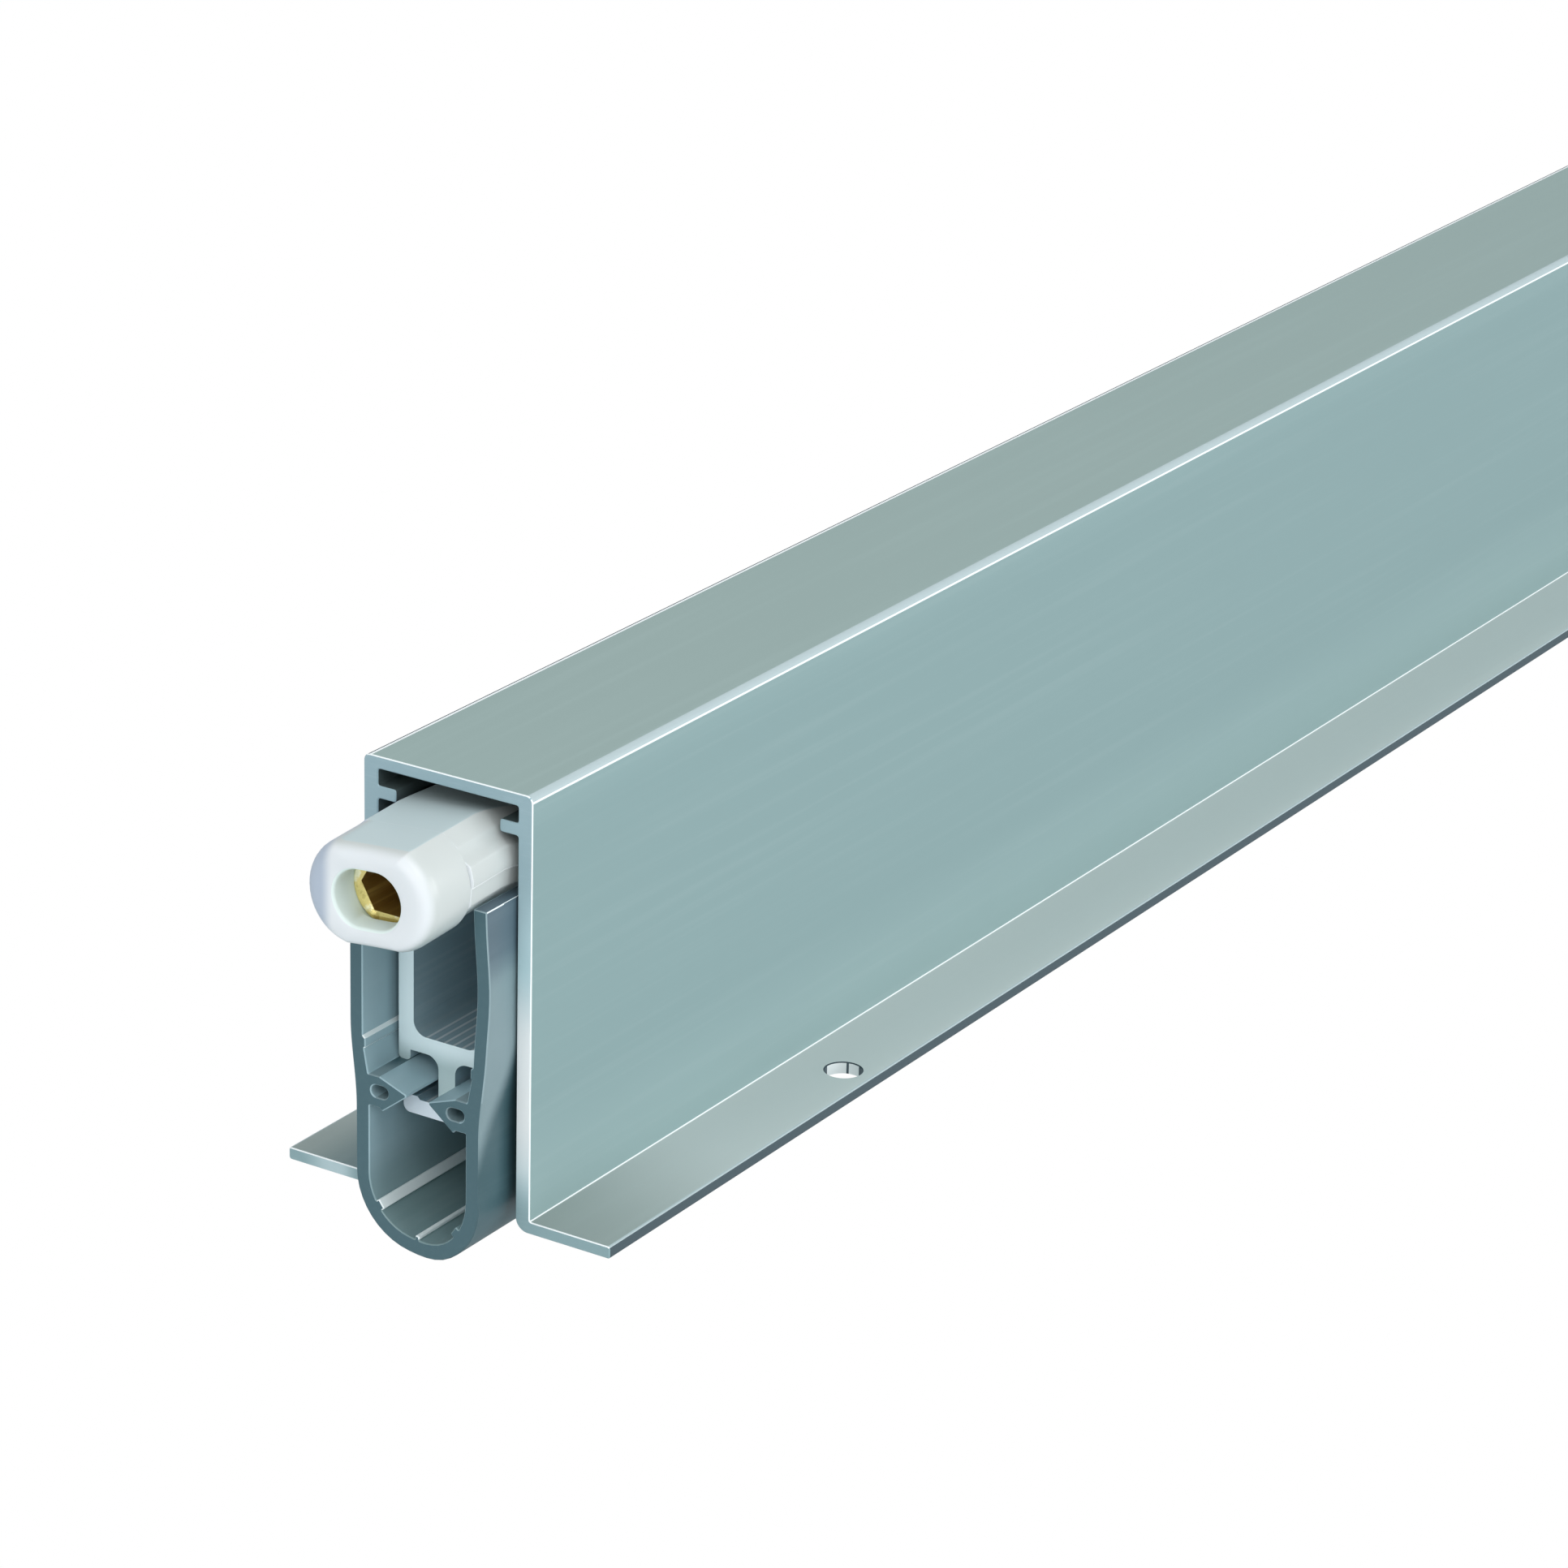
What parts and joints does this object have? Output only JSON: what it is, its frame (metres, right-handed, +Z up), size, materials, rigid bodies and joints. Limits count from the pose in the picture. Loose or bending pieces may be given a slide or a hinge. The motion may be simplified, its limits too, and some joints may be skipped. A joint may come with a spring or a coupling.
{
  "type": "automatic door bottom seal",
  "caption": "Flange mounted drop-down door bottom seal: aluminium housing, silicone bulb on a sliding carrier, white push button with a brass adjusting screw and a crank mechanism inside.",
  "frame": {"origin": "centre of the rectangle of the flanges' screw holes, on the top of the flanges, the face that meets the door's lower edge", "axes": "+X along the seal from the release button to the plain end, +Z up into the door, +Y across the width"},
  "size_m": [0.3464, 0.0254, 0.032],
  "materials": {
    "anodised_aluminium": "clear anodised, fine satin",
    "silicone": "soft satin",
    "white_plastic": "milky, slightly glossy",
    "brass": "turned, bright",
    "block_plastic": "moulded, matt",
    "steel": "zinc plated",
    "coupler_steel": "turned"
  },
  "bodies": {
    "housing": {"housing": "anodised_aluminium", "anchor_block_front": "block_plastic", "anchor_block_rear": "block_plastic", "anchor_screws": "steel", "pivot_pin_front": "steel", "pivot_pin_rear": "steel", "spring_seat_rear": "steel", "return_spring": "steel"},
    "rod": {"actuating_bar": "steel", "coupler": "coupler_steel", "coupler_rivet": "steel", "keeper_pin": "steel", "spring_seat_front": "steel", "spring_stop_pin": "steel"},
    "button": {"release_button": "white_plastic"},
    "adjuster": {"adjuster_screw": "brass"},
    "crank_front": {"crank_front": "steel", "arm_pin_front": "steel"},
    "crank_rear": {"crank_rear": "steel", "arm_pin_rear": "steel"},
    "drop_seal": {"seal_carrier": "anodised_aluminium", "silicone_seal": "silicone"}
  },
  "joints": [
    {"name": "rod_slide", "type": "slide", "parent": "housing", "child": "rod", "axis": [1, 0, 0], "range_m": [0, 0.0054], "stiffness_N_per_m": 1150, "springref_m": -0.005, "deforming": ["return_spring"]},
    {"name": "crank_front_pivot", "type": "hinge", "parent": "housing", "child": "crank_front", "pos_m": [-0.0975, 0, 0.0129], "axis": [0, 1, 0], "range_deg": [0, 41.6]},
    {"name": "crank_rear_pivot", "type": "hinge", "parent": "housing", "child": "crank_rear", "pos_m": [0.0975, 0, 0.0129], "axis": [0, 1, 0], "range_deg": [0, 41.6]},
    {"name": "seal_drop", "type": "slide", "parent": "housing", "child": "drop_seal", "axis": [0, 0, -1], "range_m": [0, 0.011]},
    {"name": "adjuster_turn", "type": "hinge", "parent": "rod", "child": "adjuster", "pos_m": [-0.1733, 0, 0.02355], "axis": [1, 0, 0], "range_deg": [-272, 1082]},
    {"name": "button_adjust", "type": "slide", "parent": "rod", "child": "button", "axis": [1, 0, 0], "range_m": [-0.0024, 0.0006]}
  ],
  "couplings": [
    {"joint": "crank_front_pivot", "follows": "rod_slide", "rad_per_m": 133.63},
    {"joint": "crank_rear_pivot", "follows": "rod_slide", "rad_per_m": 133.63},
    {"joint": "seal_drop", "follows": "rod_slide", "ratio": 2.0261},
    {"joint": "adjuster_turn", "follows": "button_adjust", "rad_per_m": -7854}
  ]
}
